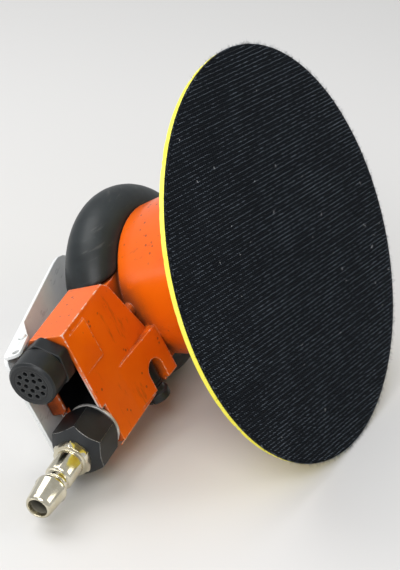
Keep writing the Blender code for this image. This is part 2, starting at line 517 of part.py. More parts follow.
def motor_housing(orange):
    """The one-piece casting: tapered motor barrel, neck, hollow handle and its bosses."""
    neck_top = HANDLE_TOP
    outline = [(0, SKIRT_BOTTOM), (SKIRT_RADIUS - 0.8 * MM, SKIRT_BOTTOM),
               (SKIRT_RADIUS, SKIRT_BOTTOM + 1 * MM),
               (SHOULDER_RADIUS + (SKIRT_RADIUS - SHOULDER_RADIUS) * 0.2, SHOULDER_HEIGHT - 8 * MM),
               (SHOULDER_RADIUS, SHOULDER_HEIGHT), (NECK_RADIUS, SHOULDER_HEIGHT),
               (NECK_RADIUS, HOUSING_TOP - 1 * MM), (NECK_RADIUS - 1 * MM, HOUSING_TOP),
               (0, HOUSING_TOP)]
    made = turned("motor_housing", outline, orange, steps=48)

    lower = prism("handle_lower", handle_plan(), HANDLE_BOTTOM, NECK_BOTTOM + 0.7 * MM, None)
    upper = handle_upper("handle_upper", None)
    neck = block("handle_neck", (-60 * MM, NECK_RIGHT, NECK_BOTTOM), (-24 * MM, NECK_LEFT, neck_top),
                 None)
    bridge = block("handle_bridge", (-44 * MM, 3.5 * MM, HANDLE_BOTTOM + 1.5 * MM),
                   (-26 * MM, NECK_LEFT, NECK_BOTTOM + 1.2 * MM), None)
    boss = disc("plug_boss", 3.2 * MM, -38.5 * MM, -26 * MM, None, steps=SMALL,
                place=at(0, -5.5 * MM, 64.4 * MM) @ TO_X)
    wedge = prism("regulator_boss", [(-66 * MM, 2.8 * MM), (-34.6 * MM, 2.8 * MM),
                                     (-34.6 * MM, HANDLE_LEFT - 1.6 * MM),
                                     (-66 * MM, HANDLE_LEFT - 1.6 * MM)],
                  HANDLE_BOTTOM - 3.4 * MM, HANDLE_BOTTOM + 2 * MM, None)
    slope = at(-66 * MM, 0, HANDLE_BOTTOM) @ Matrix.Rotation(math.radians(6.2), 4, "Y")
    wedge_slope = block("regulator_boss_slope", (-12 * MM, -10 * MM, -20 * MM), (50 * MM, 40 * MM, 0),
                        None, place=slope)
    cut(wedge, wedge_slope)
    panel = prism("muffler_panel", [(HANDLE_END + 1 * MM, HANDLE_BOTTOM + 1 * MM),
                                    (HANDLE_END + 1 * MM, HANDLE_BOTTOM),
                                    (HANDLE_END + 16.5 * MM, HANDLE_BOTTOM - 0.7 * MM),
                                    (HANDLE_END + 16.5 * MM, HANDLE_BOTTOM + 1 * MM)],
                  7.5 * MM, -HANDLE_RIGHT - 3 * MM, None, SIDEWAYS)
    lug = prism("lever_lug", [(HANDLE_END, -LUG_WIDTH), (HANDLE_END + 14 * MM, -LUG_WIDTH),
                              (HANDLE_END + 14 * MM, LUG_WIDTH), (HANDLE_END, LUG_WIDTH)],
                HANDLE_TOP - 2 * MM, LEVER_PIVOT_Z + PIN_RADIUS + 0.9 * MM, None)
    join(made, lower, upper, neck, bridge, boss, wedge, panel, lug)

    for side, y in (("left", HANDLE_LEFT), ("right", HANDLE_RIGHT)):
        turn = 45 if side == "left" else -45
        place = at(0, y, HANDLE_SIDE_TOP) @ Matrix.Rotation(math.radians(turn), 4, "X")
        reach = 20 * MM
        low_y, high_y = (0, reach) if side == "left" else (-reach, 0)
        shoulder = block(f"{side}_shoulder", (HANDLE_END - 9 * MM, low_y, -reach),
                         (-30 * MM, high_y, reach), None,
                         place=place)
        cut(made, shoulder)

    outline = [(0, SKIRT_BOTTOM - 2 * MM), (WEIGHT_BORE, SKIRT_BOTTOM - 2 * MM),
               (WEIGHT_BORE, LOWER_PLATE_BASE - LOCK_RING_HEIGHT - 1 * MM),
               (LOCK_RING_BORE, LOWER_PLATE_BASE - LOCK_RING_HEIGHT - 1 * MM),
               (LOCK_RING_BORE, LOWER_PLATE_BASE - GAP / 2),
               (MOTOR_BORE, LOWER_PLATE_BASE - GAP / 2), (MOTOR_BORE, MOTOR_ROOF), (0, MOTOR_ROOF)]
    cavity = turned("motor_cavity", outline, None)
    exhaust = disc("exhaust_bore", EXHAUST_BORE, -1 * MM, 32 * MM, None, steps=24,
                   place=at(HANDLE_END, EXHAUST_Y, EXHAUST_Z) @ TO_X)
    channel = block("exhaust_channel", (HANDLE_END + 26 * MM, NECK_RIGHT + 3 * MM,
                                        NECK_BOTTOM + 2.5 * MM),
                    (-22 * MM, -6 * MM, HANDLE_TOP - 4 * MM), None)
    inlet = disc("inlet_bore", INLET_BORE, -1 * MM, 18 * MM, None, steps=24,
                 place=at(HANDLE_END, INLET_Y, INLET_Z) @ TO_X)
    passage = disc("air_passage", AIR_PASSAGE, 10 * MM, 68 * MM, None, steps=16,
                   place=at(HANDLE_END, INLET_Y, PASSAGE_Z) @ TO_X)
    pocket = block("end_pocket", (HANDLE_END - 6 * MM, EXHAUST_Y + 2 * MM, HANDLE_BOTTOM + BOTTOM_WALL),
                   (HANDLE_END + POCKET_DEPTH, INLET_Y - 2 * MM, HANDLE_TOP - TOP_WALL), None)
    for name, y, z, radius in (("inlet_boss", INLET_Y, INLET_Z, INLET_BORE + 3.2 * MM),
                               ("exhaust_boss", EXHAUST_Y, EXHAUST_Z, EXHAUST_BORE + 2 * MM)):
        boss = disc(name, radius, -8 * MM, 30 * MM, None, steps=32,
                    place=at(HANDLE_END, y, z) @ TO_X)
        cut(pocket, boss)
    seat = disc("inlet_seat", BUSHING_FLATS / math.sqrt(3) + 0.8 * MM, -8 * MM, INLET_SEAT, None,
                steps=32,
                place=at(HANDLE_END, INLET_Y, INLET_Z) @ TO_X)
    barrel = disc("regulator_bore", REGULATOR_BARREL + RUN, HANDLE_LEFT - REGULATOR_LENGTH,
                  HANDLE_LEFT + 8 * MM, None, steps=24, place=at(REGULATOR_X, 0, REGULATOR_Z) @ TO_Y)
    wide = REGULATOR_BARREL + RUN
    plan = [(REGULATOR_X + wide, HANDLE_LEFT + 8 * MM), (REGULATOR_X - wide, HANDLE_LEFT + 8 * MM)]
    plan += arc((REGULATOR_X, REGULATOR_NOTCH + wide), wide, 180, 360, 9)
    notch = prism("regulator_notch", plan, HANDLE_BOTTOM - 6 * MM, REGULATOR_Z, None)
    valve = disc("valve_bore", STEM_HEAD_RADIUS + RUN, INLET_Z - 6.5 * MM, INLET_Z + 5.5 * MM, None,
                 (VALVE_X, INLET_Y),
                 SMALL)
    guide = disc("stem_bore", STEM_RADIUS + RUN, INLET_Z, HANDLE_TOP + 4 * MM, None, (VALVE_X, INLET_Y),
                 SMALL)
    pin = disc("pin_bore", PIN_RADIUS + GAP, -30 * MM, 30 * MM, None, steps=SMALL,
               place=at(LEVER_PIVOT_X, 0, LEVER_PIVOT_Z) @ TO_Y)
    cut(made, cavity, exhaust, channel, inlet, passage, pocket, seat, barrel, notch, valve, guide, pin)


def rubber_grip(rubber):
    """The moulded palm grip over the motor's neck, notched at the back for the handle."""
    ring_centre = (GRIP_RADIUS - GRIP_TUBE, GRIP_CENTRE_Z)
    start = -math.degrees(math.acos((SHOULDER_RADIUS + GAP - ring_centre[0]) / GRIP_TUBE))
    top = GRIP_CENTRE_Z + GRIP_TUBE
    cavity_radius = NECK_RADIUS + GAP
    outline = arc(ring_centre, GRIP_TUBE, start, 90, 11)
    outline += [(ring_centre[0] * 0.66, top + GRIP_CROWN * 0.6),
                (ring_centre[0] * 0.33, top + GRIP_CROWN * 0.9),
                (0, top + GRIP_CROWN)]
    outline = [(0, HOUSING_TOP + GAP), (cavity_radius, HOUSING_TOP + GAP),
               (cavity_radius, outline[0][1])] + outline
    made = turned("rubber_grip", outline, rubber, steps=44)
    grow = 2 * GAP
    notch = block("grip_notch", (-60 * MM, NECK_RIGHT - grow, NECK_BOTTOM - 20 * MM),
                  (-24 * MM, NECK_LEFT + grow, HANDLE_TOP + grow), None)
    cut(made, notch, handle_upper("grip_clearance", None, grow))


# ---------------------------------------------------------------- fittings at the handle's end

def muffler(black, felt):
    """Screwed exhaust muffler: hexagonal body, perforated cap and the felt between them."""
    place = along_x(HANDLE_END - GAP, EXHAUST_Y, EXHAUST_Z)
    hex_end = MUFFLER_HEX_LENGTH
    body = prism("muffler_body", hexagon(MUFFLER_FLATS), 0, hex_end, black,
                 place @ Matrix.Rotation(math.radians(MUFFLER_TURN), 4, "Z"), MUFFLER_CORNER)
    thread = EXHAUST_BORE - GAP
    tail = ring("muffler_tail", 0.1 * MM, thread, -14 * MM, 1 * MM, None, steps=24, place=place)
    collar = ring("muffler_collar", 0.1 * MM, MUFFLER_CAP_RADIUS - MUFFLER_WALL - GAP, hex_end - 1 * MM,
                  hex_end + 4 * MM, None, steps=32, place=place)
    bore = disc("muffler_bore", thread - MUFFLER_WALL, -16 * MM, hex_end + 6 * MM, None, steps=24,
                place=place)
    join(body, tail, collar)
    cut(body, bore)
    face = hex_end + GAP + MUFFLER_CAP_LENGTH
    inner = MUFFLER_CAP_RADIUS - MUFFLER_WALL
    outline = [(0, face - MUFFLER_WALL), (inner, face - MUFFLER_WALL), (inner, hex_end + GAP),
               (MUFFLER_CAP_RADIUS, hex_end + GAP), (MUFFLER_CAP_RADIUS, face - 1 * MM),
               (MUFFLER_CAP_RADIUS - 1 * MM, face), (0, face)]
    cap = turned("muffler_cap", outline, black, steps=32, place=place)
    for row, (count, radius) in enumerate(((5, 2.7 * MM), (10, 5.6 * MM))):
        for number in range(count):
            angle = 2 * math.pi * (number + 0.5 * row) / count
            spot = (radius * math.cos(angle), radius * math.sin(angle))
            hole = disc(f"muffler_hole_{row}_{number}", MUFFLER_HOLE, face - MUFFLER_WALL - 1 * MM,
                        face + 1 * MM, None,
                        spot, 6, place)
            cut(cap, hole)
    disc("muffler_felt", inner - GAP * 2, hex_end + 4 * MM + GAP, face - MUFFLER_WALL - GAP, felt,
         steps=24, place=place)


def air_inlet(black, pale, nickel, steel):
    """Hexagonal inlet bushing with its washer and screen, and the quick-connect plug screwed into it."""
    washer = along_x(HANDLE_END + INLET_SEAT - GAP, INLET_Y, INLET_Z)
    ring("inlet_washer", BUSHING_THREAD + GAP, WASHER_RADIUS, 0, WASHER_THICKNESS, pale, steps=32,
         place=washer)
    start = HANDLE_END + INLET_SEAT - 2 * GAP - WASHER_THICKNESS
    place = along_x(start, INLET_Y, INLET_Z)
    end = BUSHING_LENGTH
    bushing = prism("inlet_bushing", hexagon(BUSHING_FLATS), 0, end, black,
                    place @ Matrix.Rotation(math.radians(BUSHING_TURN), 4, "Z"))
    corner = BUSHING_FLATS / math.sqrt(3)
    chamfer = turned("bushing_chamfer", [(0, 0), (BUSHING_FLATS / 2 - 0.4 * MM, 0), (corner, 1.6 * MM),
                                         (corner, end - BUSHING_SLOPE - 1.2 * MM),
                                         (BUSHING_FLATS / 2, end - BUSHING_SLOPE),
                                         (BUSHING_FLATS / 2 - 3.4 * MM, end), (0, end)], None, steps=30,
                                         place=place)
    thread = ring("bushing_thread", 0.1 * MM, BUSHING_THREAD, -15 * MM, 1 * MM, None, steps=24,
                  place=place)
    combine(bushing, chamfer, "INTERSECT")
    bore = disc("bushing_bore", PLUG_RADIUS - 0.6 * MM, -17 * MM, end + 1 * MM, None, steps=24,
                place=place)
    join(bushing, thread)
    cut(bushing, bore)
    disc("inlet_screen", PLUG_RADIUS - 0.6 * MM - GAP, -13 * MM, -12 * MM, steel, steps=24, place=place)
    place = along_x(start - end - GAP, INLET_Y, INLET_Z)
    plug = prism("air_plug", hexagon(PLUG_FLATS), 0, PLUG_HEX_LENGTH, nickel,
                 place @ Matrix.Rotation(math.radians(BUSHING_TURN), 4, "Z"))
    radius = PLUG_RADIUS
    outline = [(0.1 * MM, -11 * MM), (radius - 1.2 * MM, -11 * MM), (radius - 1.2 * MM, 0.5 * MM),
               (radius, 0.5 * MM), (radius, 15.1 * MM), (radius - 1.9 * MM, 16.2 * MM),
               (radius - 1.9 * MM, 20.2 * MM),
               (radius, 21.2 * MM), (radius, 25.2 * MM), (radius - 1.2 * MM, 26.6 * MM),
               (radius - 1.2 * MM, PLUG_LENGTH - 1 * MM), (radius - 1.8 * MM, PLUG_LENGTH),
               (0.1 * MM, PLUG_LENGTH)]
    stem = turned("plug_stem", outline, None, steps=24, place=place)
    bore = disc("plug_bore", PLUG_BORE, -12 * MM, PLUG_LENGTH + 1 * MM, None, steps=24, place=place)
    join(plug, stem)
    cut(plug, bore)


# ---------------------------------------------------------------- throttle and regulator

def throttle_lever(steel):
    """Bent sheet lever: plate over the handle and the grip, with two ears on the pivot pin."""
    half = LEVER_WIDTH / 2
    tilt = at(LEVER_PIVOT_X, 0, LEVER_PIVOT_Z) @ Matrix.Rotation(-math.radians(LEVER_RISE), 4, "Y")
    corner = LEVER_CORNER
    rear = corner - LEVER_REAR
    stretch = LEVER_NOSE_LENGTH / (LEVER_NOSE_WIDTH / 2)
    plan = arc((rear, half - corner), corner, 90, 180, 5) + arc((rear, corner - half), corner, 180, 270,
                                                                5)
    plan += [(LEVER_NOSE + x * stretch, y) for x, y in arc((0, 0), LEVER_NOSE_WIDTH / 2, -90, 90, 15)]
    made = prism("throttle_lever", plan, LEVER_LIFT, LEVER_LIFT + LEVER_THICKNESS, steel, tilt)
    top = LEVER_LIFT + 0.5 * LEVER_THICKNESS
    side = [(-SPARE_HOLE - EAR_EDGE, top)] + arc((-SPARE_HOLE, 0), EAR_EDGE, 180, 270, 4)
    side += arc((0, 0), EAR_EDGE, 270, 315, 3) + [(EAR_LENGTH, top - 1.4 * MM), (EAR_LENGTH, top)]
    for name, start in (("left", half - LEVER_THICKNESS), ("right", -half)):
        ear = prism("lever_ear_" + name, side, -start - LEVER_THICKNESS, -start, None, tilt @ SIDEWAYS)
        join(made, ear)
    hole = disc("lever_pin_hole", PIN_RADIUS + GAP, -half - 2 * MM, half + 2 * MM, None, steps=SMALL,
                place=at(LEVER_PIVOT_X, 0, LEVER_PIVOT_Z) @ TO_Y)
    second = disc("lever_second_hole", PIN_RADIUS, -half - 2 * MM, half + 2 * MM, None, steps=SMALL,
                  place=tilt @ at(-SPARE_HOLE, 0, 0) @ TO_Y)
    cut(made, hole, second)
    set_origin(made, (LEVER_PIVOT_X, 0, LEVER_PIVOT_Z))
    reach = half + 1.0 * MM
    disc("lever_pin", PIN_RADIUS, -reach, reach, steel, steps=SMALL,
         place=at(LEVER_PIVOT_X, 0, LEVER_PIVOT_Z) @ TO_Y)


def lever_underside(x):
    """Height of the lever plate's underside at rest, at this x."""
    run = x - LEVER_PIVOT_X
    slope = math.tan(math.radians(LEVER_RISE))
    return LEVER_PIVOT_Z + LEVER_LIFT / math.cos(math.radians(LEVER_RISE)) + run * slope


def throttle_valve(brass, steel, plastic):
    """Vertical valve stem under the lever, its spring in the air passage and its guide bush."""
    spot = (VALVE_X, INLET_Y)
    top = lever_underside(VALVE_X - STEM_RADIUS) - GAP
    head = INLET_Z - 1.0 * MM
    outline = [(0, head), (STEM_HEAD_RADIUS, head), (STEM_HEAD_RADIUS, head + 2 * MM),
               (STEM_RADIUS, head + 4 * MM), (STEM_RADIUS, top - 1 * MM), (STEM_RADIUS - 1 * MM, top),
               (0, top)]
    stem = turned("valve_stem", outline, brass, spot, SMALL)
    set_origin(stem, (VALVE_X, INLET_Y, head))
    ring("valve_seal", STEM_RADIUS + RUN, STEM_RADIUS + 3 * MM, HANDLE_TOP + GAP,
         HANDLE_TOP + GAP + 2 * MM,
         plastic, spot, SMALL)
    low = INLET_Z - 6.5 * MM + GAP
    height = head - GAP - low
    curve = bpy.data.curves.new("valve_spring", "CURVE")
    curve.dimensions = "3D"
    curve.bevel_depth = SPRING_WIRE
    curve.bevel_resolution = 1
    curve.use_fill_caps = True
    line = curve.splines.new("POLY")
    count = SPRING_TURNS * 10 + 1
    line.points.add(count - 1)
    for index in range(count):
        angle = 2 * math.pi * index / 10
        z = low + SPRING_WIRE + (height - 2 * SPRING_WIRE) * index / (count - 1)
        line.points[index].co = (VALVE_X + SPRING_RADIUS * math.cos(angle),
                                 INLET_Y + SPRING_RADIUS * math.sin(angle),
                                 z, 1.0)
    spring = bpy.data.objects.new("valve_spring", curve)
    curve.materials.append(steel)
    bpy.context.scene.collection.objects.link(spring)


def regulator(black, rubber):
    """Turning barrel with a cross hole in the air passage, and its round head outside the handle."""
    place = at(REGULATOR_X, 0, REGULATOR_Z) @ TO_Y
    inner = HANDLE_LEFT - REGULATOR_LENGTH + 1 * MM
    head = HANDLE_LEFT + REGULATOR_HEAD_GAP
    groove = HANDLE_LEFT - 3.4 * MM
    waist = REGULATOR_BARREL - 1.1 * MM
    outline = [(0, inner), (REGULATOR_BARREL, inner), (REGULATOR_BARREL, groove), (waist, groove),
               (waist, groove + 2 * MM), (REGULATOR_BARREL, groove + 2 * MM), (REGULATOR_BARREL, head),
               (REGULATOR_HEAD - 0.6 * MM, head), (REGULATOR_HEAD, head + 0.6 * MM),
               (REGULATOR_HEAD, head + REGULATOR_HEAD_LENGTH - 0.8 * MM),
               (REGULATOR_HEAD - 0.8 * MM, head + REGULATOR_HEAD_LENGTH),
               (0, head + REGULATOR_HEAD_LENGTH)]
    made = turned("regulator_knob", outline, black, steps=24, place=place)
    through = disc("regulator_port", 2.2 * MM, -8 * MM, 8 * MM, None, steps=16,
                   place=at(REGULATOR_X, INLET_Y, REGULATOR_Z + 0.5 * MM) @ TO_X)
    slot = block("regulator_slot", (-REGULATOR_HEAD - 1 * MM, -0.6 * MM,
                                    head + REGULATOR_HEAD_LENGTH - 1.2 * MM),
                 (REGULATOR_HEAD + 1 * MM, 0.6 * MM, head + REGULATOR_HEAD_LENGTH + 1 * MM), None,
                 place=place)
    cut(made, through, slot)
    set_origin(made, (REGULATOR_X, 0, REGULATOR_Z))
    ring_centre = (waist + 0.1 * MM + 0.6 * MM, groove + 1 * MM)
    turned("regulator_o_ring", arc(ring_centre, 0.6 * MM, 0, 300, 6), rubber, steps=24, place=place)


def main():
    clear_scene()
    orange = material("orange_paint", (0.80, 0.16, 0.02), 0.32)
    rubber = material("grip_rubber", (0.025, 0.028, 0.030), 0.55)
    black = material("black_plastic", (0.015, 0.016, 0.018), 0.38)
    hook_black = material("hook_nylon", (0.012, 0.013, 0.017), 0.85)
    foam_yellow = material("pad_foam", (0.85, 0.80, 0.08), 0.7)
    fibre = material("backing_fibre", (0.05, 0.05, 0.05), 0.6)
    steel = material("bright_steel", (0.62, 0.62, 0.62), 0.28, 1.0)
    sheet = material("lever_steel", (0.60, 0.61, 0.60), 0.35, 1.0)
    nickel = material("plug_nickel", (0.66, 0.63, 0.58), 0.18, 1.0)
    aluminium = material("endplate_alloy", (0.70, 0.70, 0.71), 0.4, 1.0)
    brass = material("brass", (0.72, 0.52, 0.22), 0.3, 1.0)
    vane_material = material("vane_phenolic", (0.32, 0.16, 0.07), 0.6)
    felt = material("muffler_felt", (0.55, 0.55, 0.52), 0.95)
    pale = material("washer_zinc", (0.78, 0.78, 0.76), 0.35, 1.0)
    pad(hook_black, foam_yellow, fibre, steel)
    spindle(steel)
    bearing("spindle_bearing", SPINDLE_RADIUS + GAP, SPINDLE_BEARING_RADIUS, SPINDLE_BEARING_BASE,
            SPINDLE_BEARING_TOP, steel, brass, (ORBIT_OFFSET, 0.0))
    shaft_balancer(steel)
    keyway(0.0, "rotor_key", steel)
    rotor(steel, vane_material)
    motor(aluminium, steel, brass, rubber)
    motor_housing(orange)
    rubber_grip(rubber)
    muffler(black, felt)
    air_inlet(black, pale, nickel, steel)
    throttle_lever(sheet)
    throttle_valve(brass, steel, rubber)
    regulator(black, rubber)


main()
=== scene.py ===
import bmesh
import bpy
import json
import numpy as np
from math import radians
from mathutils import Matrix, Vector

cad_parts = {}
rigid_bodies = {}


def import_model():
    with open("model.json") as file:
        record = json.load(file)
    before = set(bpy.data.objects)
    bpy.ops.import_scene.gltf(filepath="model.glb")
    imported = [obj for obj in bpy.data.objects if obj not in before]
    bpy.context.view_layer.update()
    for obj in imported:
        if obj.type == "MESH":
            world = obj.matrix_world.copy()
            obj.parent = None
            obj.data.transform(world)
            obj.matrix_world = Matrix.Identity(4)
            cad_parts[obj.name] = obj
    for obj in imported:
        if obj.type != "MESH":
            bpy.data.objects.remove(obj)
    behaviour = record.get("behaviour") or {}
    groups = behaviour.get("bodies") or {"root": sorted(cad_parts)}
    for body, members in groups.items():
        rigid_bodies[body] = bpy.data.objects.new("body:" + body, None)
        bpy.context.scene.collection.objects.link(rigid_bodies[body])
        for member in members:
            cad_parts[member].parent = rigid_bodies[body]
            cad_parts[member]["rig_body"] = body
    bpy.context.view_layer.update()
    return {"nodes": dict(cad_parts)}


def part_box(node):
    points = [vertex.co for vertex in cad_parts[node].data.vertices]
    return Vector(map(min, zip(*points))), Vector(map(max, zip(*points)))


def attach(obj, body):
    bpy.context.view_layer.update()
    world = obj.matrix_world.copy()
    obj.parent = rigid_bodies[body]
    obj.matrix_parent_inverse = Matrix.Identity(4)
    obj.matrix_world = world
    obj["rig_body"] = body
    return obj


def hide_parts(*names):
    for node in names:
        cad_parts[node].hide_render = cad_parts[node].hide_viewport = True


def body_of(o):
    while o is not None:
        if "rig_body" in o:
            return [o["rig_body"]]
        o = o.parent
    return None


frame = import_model()
MM = 0.001

# ---- The view and the light.
# The sander lies on its grip, lever and pad, so the floor is a slanted plane in the tool's own
# frame; a long lens looks up at the sanding face from behind the handle.
LENS_LENGTH = 129.06
FRAME_WIDTH = 36.0
LOOK_AT = Vector((-0.02, 0.0, 0.05))
place = Vector((-0.6564, -0.3514, -0.4403))
back = -Vector((0.734, 0.401, 0.548)).normalized()
up = Vector((0.558, -0.816, -0.151))
right = up.cross(back).normalized()
up = back.cross(right).normalized()
facing = Matrix((right, up, back)).transposed()
camera = bpy.data.objects.new("camera", bpy.data.cameras.new("camera"))
camera.matrix_world = Matrix.Translation(place) @ facing.to_4x4()
camera.data.lens = LENS_LENGTH
camera.data.sensor_width = FRAME_WIDTH
camera.data.clip_start = 0.01
bpy.context.scene.collection.objects.link(camera)
bpy.context.scene.camera = camera
bpy.context.scene.view_settings.view_transform = "Standard"


def soft_light(name, across, high, near, size, power, tint=(1.0, 1.0, 1.0)):
    """A square lamp aimed at the tool, placed across, above and in front of it in the view."""
    lamp = bpy.data.lights.new(name, "AREA")
    lamp.size = size
    lamp.energy = power
    lamp.color = tint
    held = bpy.data.objects.new(name, lamp)
    spot = LOOK_AT + right * across + up * high + back * near
    aim = (LOOK_AT - spot).to_track_quat("-Z", "Y")
    held.matrix_world = Matrix.Translation(spot) @ aim.to_matrix().to_4x4()
    bpy.context.scene.collection.objects.link(held)


soft_light("window_light", -0.55, 0.95, 0.35, 0.75, 8.0)
soft_light("front_light", -0.25, 0.25, 1.10, 0.55, 6.5)
soft_light("side_light", 0.95, 0.35, 0.15, 0.50, 2.2, (1.0, 0.97, 0.93))
soft_light("bounce_light", -0.95, -0.35, 0.35, 0.70, 2.4)

room = bpy.data.worlds.new("room")
bpy.context.scene.world = room
room.use_nodes = True
room_nodes = room.node_tree.nodes
room_links = room.node_tree.links
backdrop = room_nodes["Background"]
backdrop.inputs["Color"].default_value = (0.56, 0.56, 0.55, 1.0)
backdrop.inputs["Strength"].default_value = 1.0
surround = room_nodes.new("ShaderNodeBackground")
surround.inputs["Color"].default_value = (0.80, 0.82, 0.85, 1.0)
surround.inputs["Strength"].default_value = 0.72
seen = room_nodes.new("ShaderNodeLightPath")
blend = room_nodes.new("ShaderNodeMixShader")
room_links.new(seen.outputs["Is Camera Ray"], blend.inputs[0])
room_links.new(surround.outputs[0], blend.inputs[1])
room_links.new(backdrop.outputs[0], blend.inputs[2])
room_links.new(blend.outputs[0], room_nodes["World Output"].inputs["Surface"])


# ---- The floor.
# A plain white table top under the grip, the lever and the pad's rim. It fades out round its
# edge and can't be seen from below, so it never hides the tool.
class Wire:
    """One value in a material's node tree; arithmetic on it adds Math nodes."""

    def __init__(self, tree, socket):
        self.tree = tree
        self.socket = socket

    def node(self, kind, settings=None, values=None, out=0):
        """Adds a node: its settings first, then its sockets' values or links."""
        made = self.tree.nodes.new(kind)
        for key, value in (settings or {}).items():
            setattr(made, key, value)
        for key, value in (values or {}).items():
            if isinstance(value, Wire):
                self.tree.links.new(value.socket, made.inputs[key])
            elif isinstance(value, tuple) and made.inputs[key].type == "RGBA":
                made.inputs[key].default_value = (*value, 1.0)
            else:
                made.inputs[key].default_value = value
        return Wire(self.tree, made.outputs[out])

    def math(self, operation, *values):
        return self.node("ShaderNodeMath", {"operation": operation}, dict(enumerate(values)))

    def __add__(self, other):
        return self.math("ADD", self, other)

    def __radd__(self, other):
        return self.math("ADD", other, self)

    def __sub__(self, other):
        return self.math("SUBTRACT", self, other)

    def __rsub__(self, other):
        return self.math("SUBTRACT", other, self)

    def __mul__(self, other):
        return self.math("MULTIPLY", self, other)

    def __rmul__(self, other):
        return self.math("MULTIPLY", other, self)

    def step(self, low, high):
        """0 below low and 1 above high, with a smooth rise between them."""
        return self.node("ShaderNodeMapRange", {"interpolation_type": "SMOOTHSTEP"},
                         {"Value": self, "From Min": low, "From Max": high})

    def band(self, low, high, rise, fall):
        """1 from low to high and 0 outside, with soft edges of these widths just inside them."""
        return self.step(low, low + rise) * (1.0 - self.step(high - fall, high))

    def sine(self):
        return self.math("SINE", self)

    def part(self, axis):
        """One coordinate of a point: 0, 1 or 2."""
        return self.node("ShaderNodeSeparateXYZ", None, {0: self}, axis)

    def moved(self, shift=(0, 0, 0), turn=(0, 0, 0), stretch=(1, 1, 1)):
        values = {"Vector": self, "Location": shift, "Rotation": turn, "Scale": stretch}
        return self.node("ShaderNodeMapping", None, values)

    def length(self):
        return self.node("ShaderNodeVectorMath", {"operation": "LENGTH"}, {0: self}, 1)

    def noise(self, scale, detail=4.0, rough=0.55, distort=0.0):
        values = {"Vector": self, "Scale": scale, "Detail": detail, "Roughness": rough}
        return self.node("ShaderNodeTexNoise", None, {**values, "Distortion": distort})

    def cells(self, scale):
        """How far the point is from the middle of its cell, in cells."""
        return self.node("ShaderNodeTexVoronoi", {"feature": "F1"}, {"Vector": self, "Scale": scale})

    def mix(self, low, high):
        """The colour low where this value is 0 and high where it is 1."""
        return self.node("ShaderNodeMix", {"data_type": "RGBA"}, {0: self, 6: low, 7: high}, 2)

    def bump(self, strength, distance, over=None):
        values = {"Height": self, "Strength": strength, "Distance": distance}
        if over is not None:
            values["Normal"] = over
        return self.node("ShaderNodeBump", None, values)


def new_material(name):
    """A material with its Principled shader and the point on the piece, in metres."""
    made = bpy.data.materials.new(name)
    made.use_nodes = True
    tree = made.node_tree
    shader = tree.nodes["Principled BSDF"]
    point = Wire(tree, tree.nodes.new("ShaderNodeTexCoord").outputs["Object"])
    return made, shader, point


def feed(shader, **values):
    """Links or sets the shader's sockets; an underscore in a name stands for a space."""
    for key, value in values.items():
        socket = shader.inputs[key.replace("_", " ")]
        if isinstance(value, Wire):
            value.tree.links.new(value.socket, socket)
        elif isinstance(value, tuple):
            socket.default_value = (*value, 1.0)
        else:
            socket.default_value = value


FLOOR_NORMAL = Vector((0.141, -0.859, -0.493)).normalized()
FLOOR_LEVEL = -0.0794
FLOOR_RADIUS = 0.95
FLOOR_SIDES = 48

paint, shader, point = new_material("table_white")
feed(shader, Base_Color=(0.645, 0.635, 0.62), Roughness=0.6)
centre = Vector((0.0, 0.0, 0.04))
centre -= FLOOR_NORMAL * (centre.dot(FLOOR_NORMAL) - FLOOR_LEVEL)
away = point.node("ShaderNodeVectorMath", {"operation": "DISTANCE"}, {0: point, 1: tuple(centre)}, 1)
under = point.node("ShaderNodeNewGeometry", None, None, 6)
hidden = 1.0 - (1.0 - under) * (1.0 - away.step(FLOOR_RADIUS * 0.25, FLOOR_RADIUS * 0.95))
clear = point.node("ShaderNodeBsdfTransparent")
lit = Wire(paint.node_tree, shader.outputs[0])
join = point.node("ShaderNodeMixShader", None, {0: hidden, 1: lit, 2: clear})
paint.node_tree.links.new(join.socket, paint.node_tree.nodes["Material Output"].inputs["Surface"])
turn = np.linspace(0, 2 * np.pi, FLOOR_SIDES, endpoint=False)
side = np.array(FLOOR_NORMAL.orthogonal().normalized())
other = np.cross(np.array(FLOOR_NORMAL), side)
rim = np.array(centre) + FLOOR_RADIUS * (np.cos(turn)[:, None] * side + np.sin(turn)[:, None] * other)
table_mesh = bpy.data.meshes.new("table")
table_mesh.from_pydata(rim.tolist(), [], [list(range(FLOOR_SIDES))])
table_mesh.materials.append(paint)
table = bpy.data.objects.new("table", table_mesh)
bpy.context.scene.collection.objects.link(table)


# ---- The hook face.
# A woven black nylon sheet glued to the foam, with rows of small hooks that hold the sanding
# disc. Its cut edge is slightly frayed.
low, high = (np.array(corner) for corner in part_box("hook_face"))
pad_centre = (low + high) / 2
pad_radius = (high[0] - low[0]) / 2
SHEET_LOW = 1.05 * MM
SHEET_STEPS = 180
HOOK_PITCH = 1.55 * MM
HOOK_ROW = 1.63 * MM
ROW_TURN = radians(16.4)


def turned_grid(profile, centre, steps):
    """Points of a profile of (radius, height) turned about an upright axis through centre, and its
    quads: the point at step s is (radius cos a, radius sin a, height) with a = 2 pi s / steps."""
    profile = np.asarray(profile, float)
    angle = np.linspace(0, 2 * np.pi, steps, endpoint=False)
    ring = np.stack([np.cos(angle), np.sin(angle)], 1)
    points = np.concatenate([
        profile[:, None, 0, None] * ring[None] + np.asarray(centre)[:2],
        np.broadcast_to(profile[:, None, 1, None], (len(profile), steps, 1))], 2)
    i, j = np.meshgrid(np.arange(len(profile) - 1), np.arange(steps), indexing="ij")
    k = (j + 1) % steps
    quads = np.stack([i * steps + j, i * steps + k, (i + 1) * steps + k, (i + 1) * steps + j], -1)
    return points.reshape(-1, 3), quads.reshape(-1, 4)


